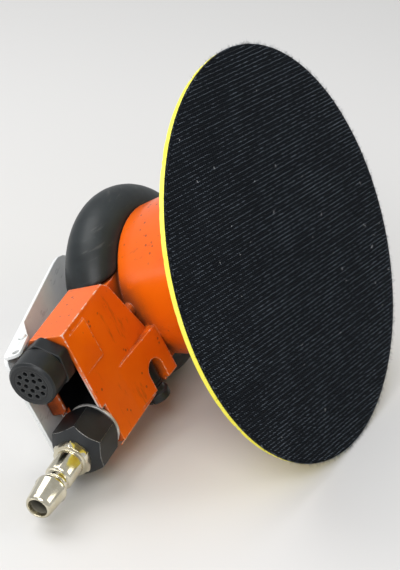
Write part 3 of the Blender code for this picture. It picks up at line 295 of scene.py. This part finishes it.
def add_piece(name, points, faces, surface, body, sharp=None):
    """A new piece from its points (n, 3) and faces, riding on a body. Its faces are flat, or smooth
    with a crisp edge wherever it turns by more than the sharp angle, in degrees."""
    mesh = bpy.data.meshes.new(name)
    mesh.from_pydata(points.tolist(), [], faces)
    if sharp is not None:
        mesh.shade_smooth()
        mesh.set_sharp_from_angle(angle=radians(sharp))
    mesh.materials.append(surface)
    made = bpy.data.objects.new(name, mesh)
    bpy.context.scene.collection.objects.link(made)
    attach(made, body)
    return made


def closed_turned(name, profile, centre, steps, surface, body, wobble=None):
    """A turned solid whose profile starts and ends close to the axis: both ends get a flat cap."""
    points, quads = turned_grid(profile, centre, steps)
    if wobble is not None:
        points = points + wobble(points)
    faces = quads.tolist()
    faces.append(list(range(steps))[::-1])
    last = (len(profile) - 1) * steps
    faces.append(list(range(last, last + steps)))
    return add_piece(name, points, faces, surface, body, 40)


weave, shader, point = new_material("hook_nylon")
flat = point.moved(turn=(0, 0, -ROW_TURN))
rows = (flat.part(1) * (2 * np.pi / HOOK_ROW)).sine()
warp = (flat.part(0) * (2 * np.pi / HOOK_PITCH)).sine()
mottle = point.noise(60.0, 5.0, 0.6)
ground = (rows * 0.5 + 0.5).mix((0.0010, 0.0016, 0.0026), (0.004, 0.006, 0.009))
ground = (mottle.step(0.35, 0.75) * 0.4).mix(ground, (0.008, 0.011, 0.015))
feed(shader, Base_Color=ground, Roughness=0.75, Specular_IOR_Level=0.08)
feed(shader, Normal=(rows * 0.6 + warp * 0.4).bump(0.6, 0.25 * MM))

profile = [(0.3 * MM, SHEET_LOW)]
profile += [(r, SHEET_LOW) for r in np.linspace(8 * MM, pad_radius - 3 * MM, 12)]
profile += [(pad_radius - 0.5 * MM, SHEET_LOW), (pad_radius - 0.25 * MM, SHEET_LOW + 0.15 * MM),
            (pad_radius - 0.15 * MM, 1.5 * MM), (pad_radius - 0.4 * MM, 2.0 * MM), (0.3 * MM, 2.0 * MM)]
closed_turned("hook_sheet", profile, pad_centre, SHEET_STEPS, weave, "pad")

draw = np.random.default_rng(7)
reach = int(pad_radius / HOOK_ROW) + 1
row, column = np.meshgrid(np.arange(-reach, reach + 1), np.arange(-reach - 3, reach + 4), indexing="ij")
across = row.ravel() * HOOK_ROW
along = (column.ravel() + 0.5 * (row.ravel() % 2)) * HOOK_PITCH
keep = np.hypot(across, along) < pad_radius - 0.9 * MM
across, along, row = across[keep], along[keep], row.ravel()[keep]
along = along + draw.normal(0, 0.10 * MM, len(along))
across = across + draw.normal(0, 0.06 * MM, len(along))
lean = np.where(row % 2 == 0, 1.0, -1.0) * draw.uniform(0.7, 1.1, len(along))
tall = draw.uniform(0.75, 1.0, len(along)) * (SHEET_LOW - 0.02 * MM)


def hook_points():
    """Each hook is a three-sided stalk through four stations: straight down from the sheet, then
    bending over along its row, with its tip turned back up."""
    bend = np.array([0.0, 0.10, 0.42, 0.62]) * MM
    drop = np.array([-0.06, 0.60, 1.0, 0.72])
    thick = np.array([0.17, 0.15, 0.15, 0.07]) * MM
    spin = np.array([90.0, 210.0, 330.0])
    path_along = along[:, None] + lean[:, None] * bend
    path_z = SHEET_LOW - tall[:, None] * drop
    path_z = np.maximum(path_z, 0.12 * MM)
    ring_y = thick[None, :, None] * np.cos(np.radians(spin))[None, None]
    ring_u = thick[None, :, None] * np.sin(np.radians(spin))[None, None]
    slope = np.array([0.0, 0.35, 1.0, 1.0])[None, :, None]
    u = path_along[:, :, None] + ring_u * (1 - slope * 0.6)
    v = across[:, None, None] + ring_y + np.zeros_like(u)
    z = path_z[:, :, None] + ring_u * slope * 0.75
    c, s = np.cos(ROW_TURN), np.sin(ROW_TURN)
    x = pad_centre[0] + c * u - s * v
    y = pad_centre[1] + s * u + c * v
    return np.stack([x, y, z], -1).reshape(-1, 3)


def hook_faces(count):
    """Quads between the four rings of three points, and a triangle on each tip."""
    base = np.arange(count)[:, None, None] * 12
    ring, step_on = np.meshgrid(np.arange(3), np.arange(3), indexing="ij")
    first = base + ring * 3 + step_on
    second = base + ring * 3 + (step_on + 1) % 3
    quads = np.stack([first, second, second + 3, first + 3], -1).reshape(-1, 4)
    tips = np.arange(count)[:, None] * 12 + np.array([9, 10, 11])
    return quads.tolist() + tips.tolist()


# The hooks are black nylon. Patches of them, and bands along their rows, are painted bluish grey as
# painted glints. The frayed threads share this material.
hook_painted_glints, shader, point = new_material("hook_painted_glints")
tone = point.noise(420.0, 2.0)
patch = point.noise(34.0, 3.0, 0.6)
band = (point.moved(turn=(0, 0, -ROW_TURN)).part(1) * (np.pi / HOOK_ROW)).sine() * 0.5 + 0.5
painted_glint_mask = (tone * 0.6 + patch * 0.25 + band * 0.15).step(0.42, 0.60)
feed(shader, Base_Color=painted_glint_mask.mix((0.004, 0.006, 0.010), (0.125, 0.150, 0.180)))
feed(shader, Roughness=0.42, Specular_IOR_Level=0.25)
hooks = add_piece("hooks", hook_points(), hook_faces(len(along)), hook_painted_glints, "pad", 180)

# The frayed edge: short loose threads, each a thin three-sided spike from the sheet's rim.
THREADS = 2600
angle = draw.uniform(0, 2 * np.pi, THREADS)
length = draw.gamma(2.0, 0.38 * MM, THREADS).clip(0.2 * MM, 2.0 * MM) + 0.5 * MM
swing = draw.normal(0, 0.45, THREADS)
height = draw.uniform(0.5 * MM, 1.8 * MM, THREADS)
root = pad_radius - 0.5 * MM
start = np.stack([root * np.cos(angle), root * np.sin(angle), height], 1)
start[:, :2] += pad_centre[:2]
heading = angle + swing
reach = np.stack([np.cos(heading), np.sin(heading), draw.normal(-0.1, 0.3, THREADS)], 1)
end = start + reach * length[:, None]
end[:, 2] = end[:, 2].clip(0.1 * MM, 2.2 * MM)
wide = np.stack([-np.sin(heading), np.cos(heading), np.zeros(THREADS)], 1) * 0.07 * MM
deep = np.zeros((THREADS, 3))
deep[:, 2] = 0.10 * MM
spikes = np.stack([start - wide, start + wide, start + deep, end], 1).reshape(-1, 3)
base = np.arange(THREADS)[:, None, None] * 4
spike_faces = (base + np.array([[0, 2, 1], [0, 1, 3], [1, 2, 3], [2, 0, 3]])).reshape(-1, 3)
add_piece("hook_edge_threads", spikes, spike_faces.tolist(), hook_painted_glints, "pad")
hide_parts("hook_face")

# A little lint is caught in the hooks: thin pale curls lying across their tips.
LINT = 34
LINT_DEPTH = 0.10 * MM
lint, shader, point = new_material("hook_lint")
fluff = point.noise(300.0, 3.0)
feed(shader, Base_Color=fluff.step(0.3, 0.7).mix((0.35, 0.36, 0.37), (0.70, 0.71, 0.72)), Roughness=0.8)
heading = draw.uniform(0, 2 * np.pi, LINT)
reach = pad_radius * 0.95 * np.sqrt(draw.uniform(0, 1, LINT))
spot = pad_centre[:2] + reach[:, None] * np.stack([np.cos(heading), np.sin(heading)], 1)
turn = draw.uniform(0, 2 * np.pi, LINT)[:, None]
turn = turn + np.linspace(-1, 1, 5)[None] * draw.normal(0, 0.6, LINT)[:, None]
step = draw.uniform(0.15, 0.55, LINT)[:, None] * MM
path = spot[:, None] + np.cumsum(np.stack([step * np.cos(turn), step * np.sin(turn)], 2), 1)
fine = np.array([0.03, 0.08, 0.09, 0.07, 0.02])[None, :, None] * MM
sideways = np.stack([-np.sin(turn), np.cos(turn)], 2) * fine
depth = np.full((LINT, 5, 1), LINT_DEPTH)
left_edge = np.concatenate([path + sideways, depth + fine], 2)
right_edge = np.concatenate([path - sideways, depth + fine], 2)
ridge = np.concatenate([path, depth - 0.4 * fine], 2)
strand = np.stack([left_edge, right_edge, ridge], 2).reshape(-1, 3)
ring = np.arange(LINT)[:, None, None] * 15 + np.arange(4)[None, :, None] * 3
first = ring + np.arange(3)
after = ring + (np.arange(3) + 1) % 3
strips = np.stack([first, after, after + 3, first + 3], -1).reshape(-1, 4)
add_piece("lint", strand, strips.tolist(), lint, "pad")


# ---- The foam.
# A thin disc of bright yellow closed-cell foam between the hook sheet and the stiff backing
# plate. It is die cut, so its rim is bare and has small nicks.
foam_low, foam_high = (np.array(corner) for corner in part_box("pad_foam"))
foam_centre = (foam_low + foam_high) / 2
foam_radius = (foam_high[0] - foam_low[0]) / 2
foam_yellow, shader, point = new_material("foam_yellow")
pores = point.cells(900.0)
stain = point.noise(45.0, 5.0, 0.65)
yellow = stain.step(0.30, 0.72).mix((0.93, 0.83, 0.060), (0.98, 0.93, 0.130))
# The middle of each pore is painted a darker yellow: painted shade in the cut cells.
feed(shader, Base_Color=pores.step(0.0, 0.28).mix((0.66, 0.54, 0.03), yellow), Roughness=0.75)
feed(shader, Normal=(pores.step(0.0, 0.3) * 0.6 + stain * 0.4).bump(0.5, 0.12 * MM))
FOAM_STEPS = 360
NICKS = 46
nick_angle = draw.uniform(0, 2 * np.pi, NICKS)
nick_depth = draw.uniform(0.25, 0.80, NICKS) * MM
nick_width = draw.uniform(0.004, 0.016, NICKS)


def foam_wobble(points):
    """Pushes the rim in at each nick: a bell curve of the angle from the nick, only near the rim."""
    out = points[:, :2] - foam_centre[:2]
    radius = np.hypot(out[:, 0], out[:, 1])
    angle = np.arctan2(out[:, 1], out[:, 0])
    away = np.angle(np.exp(1j * (angle[:, None] - nick_angle[None])))
    inward = (nick_depth * np.exp(-(away / nick_width) ** 2)).sum(1)
    inward += 0.10 * MM * np.sin(angle * 7 + 1.0) * np.sin(angle * 3)
    share = np.clip((radius - (foam_radius - 4 * MM)) / (4 * MM), 0, 1)
    move = np.zeros_like(points)
    move[:, :2] = -(out / np.maximum(radius, 1e-6)[:, None]) * (inward * share)[:, None]
    return move


STUD_GAP = 0.3 * MM
stud_low, stud_high = (np.array(corner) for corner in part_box("pad_stud"))
recess = (stud_high[0] - stud_low[0]) / 2 + STUD_GAP
recess_floor = stud_low[2] - STUD_GAP
plate_low, plate_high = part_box("backing_plate")
plate_edge = (plate_high[0] - plate_low[0]) / 2 + 2 * MM
rim_foot = foam_radius - 1.2 * MM
base, top = foam_low[2], foam_high[2]
profile = [(0.3 * MM, base)] + [(r, base) for r in np.linspace(10 * MM, foam_radius - 1 * MM, 8)]
profile += [(foam_radius - 0.15 * MM, base + 0.1 * MM), (foam_radius, base + 0.6 * MM),
            (foam_radius, base + 1.5 * MM), (foam_radius - 0.35 * MM, base + 2.3 * MM),
            (rim_foot, base + 3.0 * MM)]
profile += [(r, np.interp(r, [plate_edge, rim_foot], [top, base + 3.0 * MM]))
            for r in np.linspace(foam_radius - 5 * MM, plate_edge, 5)]
profile += [(recess, top), (recess, recess_floor), (0.3 * MM, recess_floor)]
foam = closed_turned("foam_disc", profile, foam_centre, FOAM_STEPS, foam_yellow, "pad",
                     foam_wobble)
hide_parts("pad_foam")


# ---- The backing plate and the stud.
# A stiff fibre plate bonded to the foam, pressed in a mould with a raised hub; the steel stud
# through it screws into the spindle.
MERGE = 0.002 * MM
FLAT_ENOUGH = radians(0.6)
SHARP_EDGE = radians(30)


def stands_for(piece, node):
    """The piece moves as a CAD node does and replaces it."""
    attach(piece, body_of(frame["nodes"][node])[0])
    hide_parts(node)


def finished(node, surface, width, grain=0.0):
    """A copy of a CAD piece with its flat faces joined and its sharp edges rounded to this width. A
    moulded piece is instead remeshed at a grain, in metres, and smoothed over that width."""
    work = bmesh.new()
    work.from_mesh(frame["nodes"][node].data)
    bmesh.ops.remove_doubles(work, verts=work.verts, dist=MERGE)
    bmesh.ops.dissolve_limit(work, angle_limit=FLAT_ENOUGH, verts=work.verts, edges=work.edges)
    mesh = bpy.data.meshes.new(node + "_finished")
    work.to_mesh(mesh)
    work.free()
    mesh.shade_smooth()
    mesh.materials.clear()
    mesh.materials.append(surface)
    made = bpy.data.objects.new(node + "_finished", mesh)
    bpy.context.scene.collection.objects.link(made)
    if grain:
        remesh = made.modifiers.new("grain", "REMESH")
        remesh.mode = "VOXEL"
        remesh.voxel_size = grain
        remesh.use_smooth_shade = True
        soft = made.modifiers.new("soft", "SMOOTH")
        soft.factor = 0.5
        soft.iterations = int(width / grain * 10)
    else:
        mesh.set_sharp_from_angle(angle=SHARP_EDGE)
        edge = made.modifiers.new("edge", "BEVEL")
        edge.width = width
        edge.segments = 3
        edge.limit_method = "ANGLE"
        edge.angle_limit = SHARP_EDGE
        edge.harden_normals = True
    stands_for(made, node)


def rounded(point, radius):
    """The normal with the piece's edges rounded off to this radius."""
    return point.node("ShaderNodeBevel", {"samples": 6}, {"Radius": radius})


fibre, shader, point = new_material("backing_fibre")
strands = point.moved(stretch=(1.0, 1.0, 0.2)).noise(320.0, 6.0, 0.7)
blotch = point.noise(38.0, 4.0)
feed(shader, Base_Color=strands.step(0.3, 0.7).mix((0.020, 0.019, 0.018), (0.085, 0.080, 0.070)))
normal = rounded(point, 0.6 * MM)
feed(shader, Roughness=0.55 + 0.25 * blotch, Normal=strands.bump(0.35, 0.15 * MM, normal))
finished("backing_plate", fibre, 0.6 * MM)


# ---- Steel, brass and alloy inside the motor.
# The spindle, shaft, rotor, bearings, dowels and lock rings are turned and ground steel; the
# cages are brass, the endplates are machined alloy and the blades are laminated phenolic.
def dress(surface, *names):
    """Gives a material to the CAD pieces named."""
    for name in names:
        held = frame["nodes"][name].data
        held.materials.clear()
        held.materials.append(surface)


def proud_edge_mask(point, normal):
    """1 along the edges that stand proud and 0 on flat faces and in corners."""
    plain = point.node("ShaderNodeNewGeometry", None, None, 1)
    same = point.node("ShaderNodeVectorMath", {"operation": "DOT_PRODUCT"}, {0: normal, 1: plain}, 1)
    bend = 1.0 - same
    open_air = point.node("ShaderNodeAmbientOcclusion", {"samples": 6}, {"Distance": 5 * MM}, 1)
    return bend.step(0.015, 0.12) * open_air.step(0.55, 0.9)


def turned_metal(name, dark, light, rough, ring_scale=1600.0):
    """Bare machined metal: fine tool rings along the axis, faint oil stains and bright edges."""
    made, shader, point = new_material(name)
    rings = point.moved(stretch=(0.02, 0.02, 1.0)).noise(ring_scale, 3.0, 0.6)
    oil = point.noise(70.0, 5.0, 0.6)
    normal = rounded(point, 0.35 * MM)
    proud_edge = proud_edge_mask(point, normal)
    tone = (oil * 0.6 + rings * 0.4).step(0.3, 0.7).mix(dark, light)
    feed(shader, Base_Color=(proud_edge * 0.6).mix(tone, (0.85, 0.85, 0.84)), Metallic=1.0)
    feed(shader, Roughness=rough + 0.16 * oil - 0.08 * proud_edge, Normal=rings.bump(0.3, 0.02 * MM, normal))
    return made


steel = turned_metal("bright_steel", (0.36, 0.36, 0.37), (0.66, 0.66, 0.67), 0.22)
dress(steel, "spindle", "spindle_snap_ring", "spindle_lock_ring", "shaft_balancer", "shaft_snap_ring")
dress(steel, "rotor", "rotor_key", "motor_cylinder", "lock_ring", "upper_dowel", "lower_dowel", "pad_stud")
dress(steel, "inlet_screen", "valve_spring")
for bearing in ("spindle_bearing", "lower_bearing", "upper_bearing"):
    dress(steel, bearing + "_inner_race", bearing + "_outer_race")
brass = turned_metal("brass", (0.42, 0.26, 0.08), (0.80, 0.58, 0.24), 0.24)
dress(brass, "valve_stem", "spindle_bearing_cage", "lower_bearing_cage", "upper_bearing_cage")
alloy = turned_metal("endplate_alloy", (0.50, 0.50, 0.51), (0.78, 0.78, 0.79), 0.34, 900.0)
dress(alloy, "upper_endplate", "lower_endplate")

vane, shader, point = new_material("vane_phenolic")
plies = point.moved(stretch=(1.0, 1.0, 6.0)).noise(240.0, 4.0)
tone = plies.step(0.3, 0.7).mix((0.10, 0.042, 0.016), (0.26, 0.12, 0.05))
feed(shader, Base_Color=tone, Roughness=0.5)
feed(shader, Normal=plies.bump(0.3, 0.1 * MM, rounded(point, 0.2 * MM)))
dress(vane, *(f"vane_{number + 1}" for number in range(5)))


# ---- The motor housing.
# One aluminium casting: tapered motor barrel, neck and hollow handle, painted in a glossy
# orange. Its proud edges are painted a lighter orange as a painted highlight. Handling
# has worn white specks into them and left dark specks. Its crevices are darkened in blotches
# as painted shade.
orange, shader, point = new_material("orange_paint")
normal = rounded(point, 1.1 * MM)
proud_edge = proud_edge_mask(point, normal)
cloud = point.noise(26.0, 5.0, 0.6)
grit = point.noise(420.0, 4.0, 0.7)
crevice = point.node("ShaderNodeAmbientOcclusion", {"samples": 8}, {"Distance": 16 * MM}, 1)
tone = cloud.step(0.25, 0.75).mix((0.74, 0.100, 0.0004), (0.83, 0.138, 0.0012))
blotch = point.noise(55.0, 6.0, 0.7)
# Painted shade: where the occlusion finds a crevice, the paint is darkened in blotches.
crevice_shade = (1.0 - crevice.step(0.22, 0.80)) * blotch.step(0.34, 0.54)
tone = (crevice_shade * 0.85).mix(tone, (0.085, 0.026, 0.008))
streak = point.moved(turn=(0, 0, 0.5), stretch=(3.0, 0.6, 1.0)).noise(70.0, 6.0, 0.7)
tone = (streak.step(0.57, 0.70) * 0.45).mix(tone, (0.20, 0.045, 0.010))
specks = (1.0 - point.cells(330.0).step(0.12, 0.26)) * point.noise(75.0, 3.0).step(0.52, 0.62)
tone = (specks * 0.75).mix(tone, (0.10, 0.035, 0.020))
chip = proud_edge * grit.step(0.40, 0.60)
# Painted highlight: the proud edges are painted a lighter orange. The white specks along them are worn
# paint.
tone = (proud_edge.step(0.10, 0.70) * 0.60).mix(tone, (0.95, 0.30, 0.08))
tone = (proud_edge.step(0.20, 0.65) * grit.step(0.50, 0.57) * 0.95).mix(tone, (0.86, 0.82, 0.76))

# The hollow handle's inside is painted near black as painted shade, and its lower wall is filed bare along
# the open end.
HANDLE_END = -86.6 * MM
POCKET_LOW = (HANDLE_END, -17.4 * MM, 59.2 * MM)
POCKET_HIGH = (-61.4 * MM, 16.0 * MM, 76.5 * MM)
x, y, z = (point.part(axis) for axis in range(3))
filed = 1.0 - x.step(HANDLE_END - 0.35 * MM, HANDLE_END)
filed = filed * z.band(58.6 * MM, 60.6 * MM, 0.3 * MM, 0.6 * MM)
filed = filed * y.band(-13.0 * MM, 15.0 * MM, 15.0 * MM, 2.0 * MM)
tone = (filed * (0.6 + 0.4 * grit)).mix(tone, (0.78, 0.74, 0.68))
pocket_shade = x.band(POCKET_LOW[0], POCKET_HIGH[0], 1.2 * MM, 1.2 * MM)
pocket_shade = pocket_shade * y.band(POCKET_LOW[1], POCKET_HIGH[1], 0.4 * MM, 0.4 * MM)
pocket_shade = pocket_shade * z.band(POCKET_LOW[2], POCKET_HIGH[2], 0.3 * MM, 0.3 * MM)
tone = pocket_shade.mix(tone, (0.004, 0.004, 0.005))
feed(shader, Base_Color=tone, Roughness=0.24 + 0.16 * cloud + 0.30 * crevice_shade + 0.15 * chip)
feed(shader, Coat_Weight=0.22, Coat_Roughness=0.12, Specular_IOR_Level=0.38)
peel = point.noise(260.0, 3.0, 0.5)
feed(shader, Normal=(peel * 0.5 - chip * 0.5).bump(0.18, 0.25 * MM, normal))
finished("motor_housing", orange, 0.8 * MM)


# ---- The palm grip.
# A thick moulded rubber cap pushed over the motor's neck, with a soft satin skin that holds
# dust and light rubs.
rubber, shader, point = new_material("grip_rubber")
normal = rounded(point, 1.2 * MM)
skin = point.noise(900.0, 4.0, 0.6)
dust = point.noise(30.0, 6.0, 0.65)
rub = point.moved(turn=(0.3, 0.5, 0.2), stretch=(1.0, 9.0, 1.0)).noise(60.0, 5.0, 0.7)
tone = dust.step(0.35, 0.75).mix((0.010, 0.013, 0.014), (0.020, 0.025, 0.027))
tone = (rub.step(0.58, 0.72) * 0.40).mix(tone, (0.085, 0.085, 0.082))
feed(shader, Base_Color=tone, Roughness=0.34 + 0.16 * dust, Specular_IOR_Level=0.30)
feed(shader, Normal=(skin * 0.7 + rub * 0.3).bump(0.16, 0.10 * MM, normal))
finished("rubber_grip", rubber, 1.5 * MM, 1.0 * MM)
dress(rubber, "motor_o_ring", "regulator_o_ring", "valve_seal")


# ---- The muffler.
# A moulded black nylon silencer screwed into the exhaust: hexagonal body, round cap with
# fifteen holes inside a cut ring, and a grey felt behind the holes.
cap_low, cap_high = (np.array(corner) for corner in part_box("muffler_cap"))
cap_centre = (cap_low + cap_high) / 2
nylon, shader, point = new_material("black_nylon")
normal = rounded(point, 0.7 * MM)
proud_edge = proud_edge_mask(point, normal)
grain = point.noise(700.0, 4.0, 0.6)
haze = point.noise(45.0, 5.0, 0.6)
spot = point.moved(shift=(0.0, -float(cap_centre[1]), -float(cap_centre[2])), stretch=(0, 1, 1))
groove = spot.length().band(7.0 * MM, 7.9 * MM, 0.35 * MM, 0.35 * MM)
groove = groove * (1.0 - point.part(0).step(float(cap_low[0]) + 0.2 * MM, float(cap_low[0]) + 0.6 * MM))
tone = haze.step(0.3, 0.75).mix((0.006, 0.007, 0.008), (0.016, 0.018, 0.019))
tone = (proud_edge * 0.55).mix(tone, (0.13, 0.13, 0.13))
# The cut ring is painted darker too: painted shade in its groove.
tone = (groove * 0.6).mix(tone, (0.004, 0.004, 0.005))
feed(shader, Base_Color=tone, Roughness=0.26 + 0.16 * haze + 0.08 * grain, Specular_IOR_Level=0.32)
feed(shader, Normal=(grain * 0.15 - groove).bump(0.45, 0.30 * MM, normal))
finished("muffler_body", nylon, 0.5 * MM)
finished("muffler_cap", nylon, 0.4 * MM)
finished("regulator_knob", nylon, 0.5 * MM)

felt, shader, point = new_material("muffler_felt")
fluff = point.noise(1200.0, 6.0, 0.75, 1.5)
tone = fluff.step(0.3, 0.7).mix((0.10, 0.10, 0.095), (0.34, 0.34, 0.32))
feed(shader, Base_Color=tone, Roughness=0.95)
feed(shader, Normal=fluff.bump(0.9, 0.4 * MM))
dress(felt, "muffler_felt")


# ---- The inlet.
# A black oxide steel bushing on a zinc washer, screwed into the handle's seat; spanners have
# worn its corners bright. The nickel-plated quick-connect plug screws into its end.
oxide, shader, point = new_material("black_oxide")
normal = rounded(point, 0.45 * MM)
proud_edge = proud_edge_mask(point, normal)
grit = point.noise(520.0, 5.0, 0.7)
haze = point.noise(60.0, 5.0, 0.6)
bare = proud_edge.step(0.08, 0.50) * grit.step(0.36, 0.50)
tone = haze.step(0.3, 0.7).mix((0.004, 0.005, 0.006), (0.012, 0.014, 0.016))
feed(shader, Base_Color=(bare * 0.90).mix(tone, (0.72, 0.70, 0.66)), Metallic=0.10 + 0.75 * bare)
feed(shader, Roughness=0.40 + 0.18 * haze - 0.10 * bare, Normal=grit.bump(0.22, 0.12 * MM, normal))
finished("inlet_bushing", oxide, 0.4 * MM)

zinc, shader, point = new_material("washer_zinc")
smear = point.noise(140.0, 5.0, 0.6)
feed(shader, Base_Color=smear.step(0.3, 0.7).mix((0.52, 0.51, 0.49), (0.82, 0.80, 0.77)), Metallic=0.7)
feed(shader, Roughness=0.38 + 0.2 * smear, Normal=smear.bump(0.15, 0.1 * MM, rounded(point, 0.3 * MM)))
finished("inlet_washer", zinc, 0.3 * MM)

plug_low, plug_high = (np.array(corner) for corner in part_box("air_plug"))
plug_centre = (plug_low + plug_high) / 2
nickel, shader, point = new_material("plug_nickel")
normal = rounded(point, 0.35 * MM)
rings = point.moved(stretch=(1.0, 0.03, 0.03)).noise(1500.0, 3.0)
tarnish = point.noise(110.0, 5.0, 0.6)
spot = point.moved(shift=(0.0, -float(plug_centre[1]), -float(plug_centre[2])), stretch=(0, 1, 1))
tone = tarnish.step(0.3, 0.75).mix((0.58, 0.53, 0.40), (0.80, 0.76, 0.63))
# Painted shade: inside the bore, past the nose's lip, the plug is painted black and made barely metallic.
deep = point.part(0).step(float(plug_low[0]) + 1.4 * MM, float(plug_low[0]) + 2.7 * MM)
inward = deep * (1.0 - spot.length().step(3.9 * MM, 4.1 * MM))
tone = inward.mix(tone, (0.006, 0.006, 0.006))
feed(shader, Base_Color=tone, Metallic=1.0 - 0.9 * inward, Roughness=0.10 + 0.14 * tarnish)
feed(shader, Normal=rings.bump(0.12, 0.04 * MM, normal))

# The plug is turned from hexagon bar: its flange keeps the six flats, then come the body, the
# locking groove with a bead in it, the collar and the tapered nose with a rounded lip.
PLUG_FLAT = 7.5 * MM
PLUG_STEPS = 96
plug_mesh = frame["nodes"]["air_plug"].data
plug_skin = np.zeros(len(plug_mesh.vertices) * 3, np.float32)
plug_mesh.vertices.foreach_get("co", plug_skin)
plug_skin = plug_skin.reshape(-1, 3) - plug_centre
corner = plug_skin[np.hypot(plug_skin[:, 1], plug_skin[:, 2]).argmax()]
corner_angle = np.arctan2(corner[2], corner[1])


def plug_shape(stations, steps):
    """Rings round the plug's axis from stations (distance from the tip, radius, hexagon or not).
    At angle a from a corner a hexagon's radius is its half flats / cos(a mod 60 - 30), cut at the
    station's own radius; the ring is then (x, radius cos, radius sin)."""
    stations = np.asarray(stations, float) * np.array([MM, MM, 1.0])
    angle = np.linspace(0, 2 * np.pi, steps, endpoint=False)
    flats = PLUG_FLAT / np.cos(np.mod(angle, np.pi / 3) - np.pi / 6)
    radius = np.broadcast_to(stations[:, 1, None], (len(stations), steps))
    radius = np.where(stations[:, 2, None] > 0, np.minimum(radius, flats[None]), radius)
    x = np.broadcast_to(plug_low[0] + stations[:, 0, None], radius.shape)
    y = plug_centre[1] + radius * np.cos(angle + corner_angle)
    z = plug_centre[2] + radius * np.sin(angle + corner_angle)
    i, j = np.meshgrid(np.arange(len(stations) - 1), np.arange(steps), indexing="ij")
    k = (j + 1) % steps
    quads = np.stack([i * steps + j, (i + 1) * steps + j, (i + 1) * steps + k, i * steps + k], -1)
    last = (len(stations) - 1) * steps
    ends = [list(range(steps)), list(range(last, last + steps))[::-1]]
    return np.stack([x, y, z], -1).reshape(-1, 3), quads.reshape(-1, 4).tolist() + ends


thread = [(44.6, 0.4, 0), (44.6, 4.5, 0), (44.2, 4.8, 0), (33.65, 4.8, 0)]
flange = [(33.6, 7.9, 1), (33.1, 8.6, 1), (30.9, 8.6, 1), (30.0, 7.6, 1)]
barrel = [(30.0, 6.35, 0), (29.7, 6.0, 0), (19.4, 6.0, 0), (18.7, 5.7, 0)]
locking = [(18.3, 4.85, 0), (17.3, 4.75, 0), (16.9, 5.25, 0), (16.2, 5.35, 0), (15.5, 5.25, 0),
           (15.1, 4.75, 0), (14.2, 4.85, 0)]
collar = [(13.4, 5.9, 0), (12.9, 6.7, 0), (11.6, 6.8, 0), (11.0, 6.45, 0)]
nose = [(2.0, 5.75, 0), (1.0, 5.55, 0), (0.35, 5.15, 0), (0.02, 4.65, 0), (0.1, 4.25, 0), (0.6, 4.0, 0)]
air_way = [(30.0, 3.75, 0), (30.0, 0.4, 0)]
stations = thread + flange + barrel + locking + collar + nose + air_way
points, faces = plug_shape(stations, PLUG_STEPS)
plug = add_piece("plug_turned", points, faces, nickel, "housing", 42)
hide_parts("air_plug")


# ---- The throttle lever.
# Bent steel sheet with two ears on a cross pin, zinc plated, with fine scratches from use
# along its length.
sheet, shader, point = new_material("lever_steel")
normal = rounded(point, 0.6 * MM)
proud_edge = proud_edge_mask(point, normal)
LEVER_TILT = radians(14.5)
brush = point.moved(turn=(0, LEVER_TILT, radians(4)), stretch=(0.06, 1.0, 1.0)).noise(900.0, 4.0, 0.7)
scratch = point.moved(turn=(0, 0, 0.8), stretch=(0.04, 1.0, 1.0)).noise(260.0, 3.0, 0.7)
cloud = point.noise(42.0, 5.0, 0.6)
tone = cloud.step(0.3, 0.7).mix((0.74, 0.755, 0.745), (0.84, 0.85, 0.84))
tone = (scratch.step(0.60, 0.66) * 0.35).mix(tone, (0.40, 0.40, 0.40))
feed(shader, Base_Color=(proud_edge * 0.5).mix(tone, (0.95, 0.95, 0.94)), Metallic=0.05 + 0.10 * cloud)
feed(shader, Roughness=0.40 + 0.16 * cloud + 0.10 * brush)
feed(shader, Normal=(brush * 0.6 + scratch * 0.4).bump(0.20, 0.06 * MM, normal))
finished("throttle_lever", sheet, 0.4 * MM)
finished("lever_pin", sheet, 0.3 * MM)
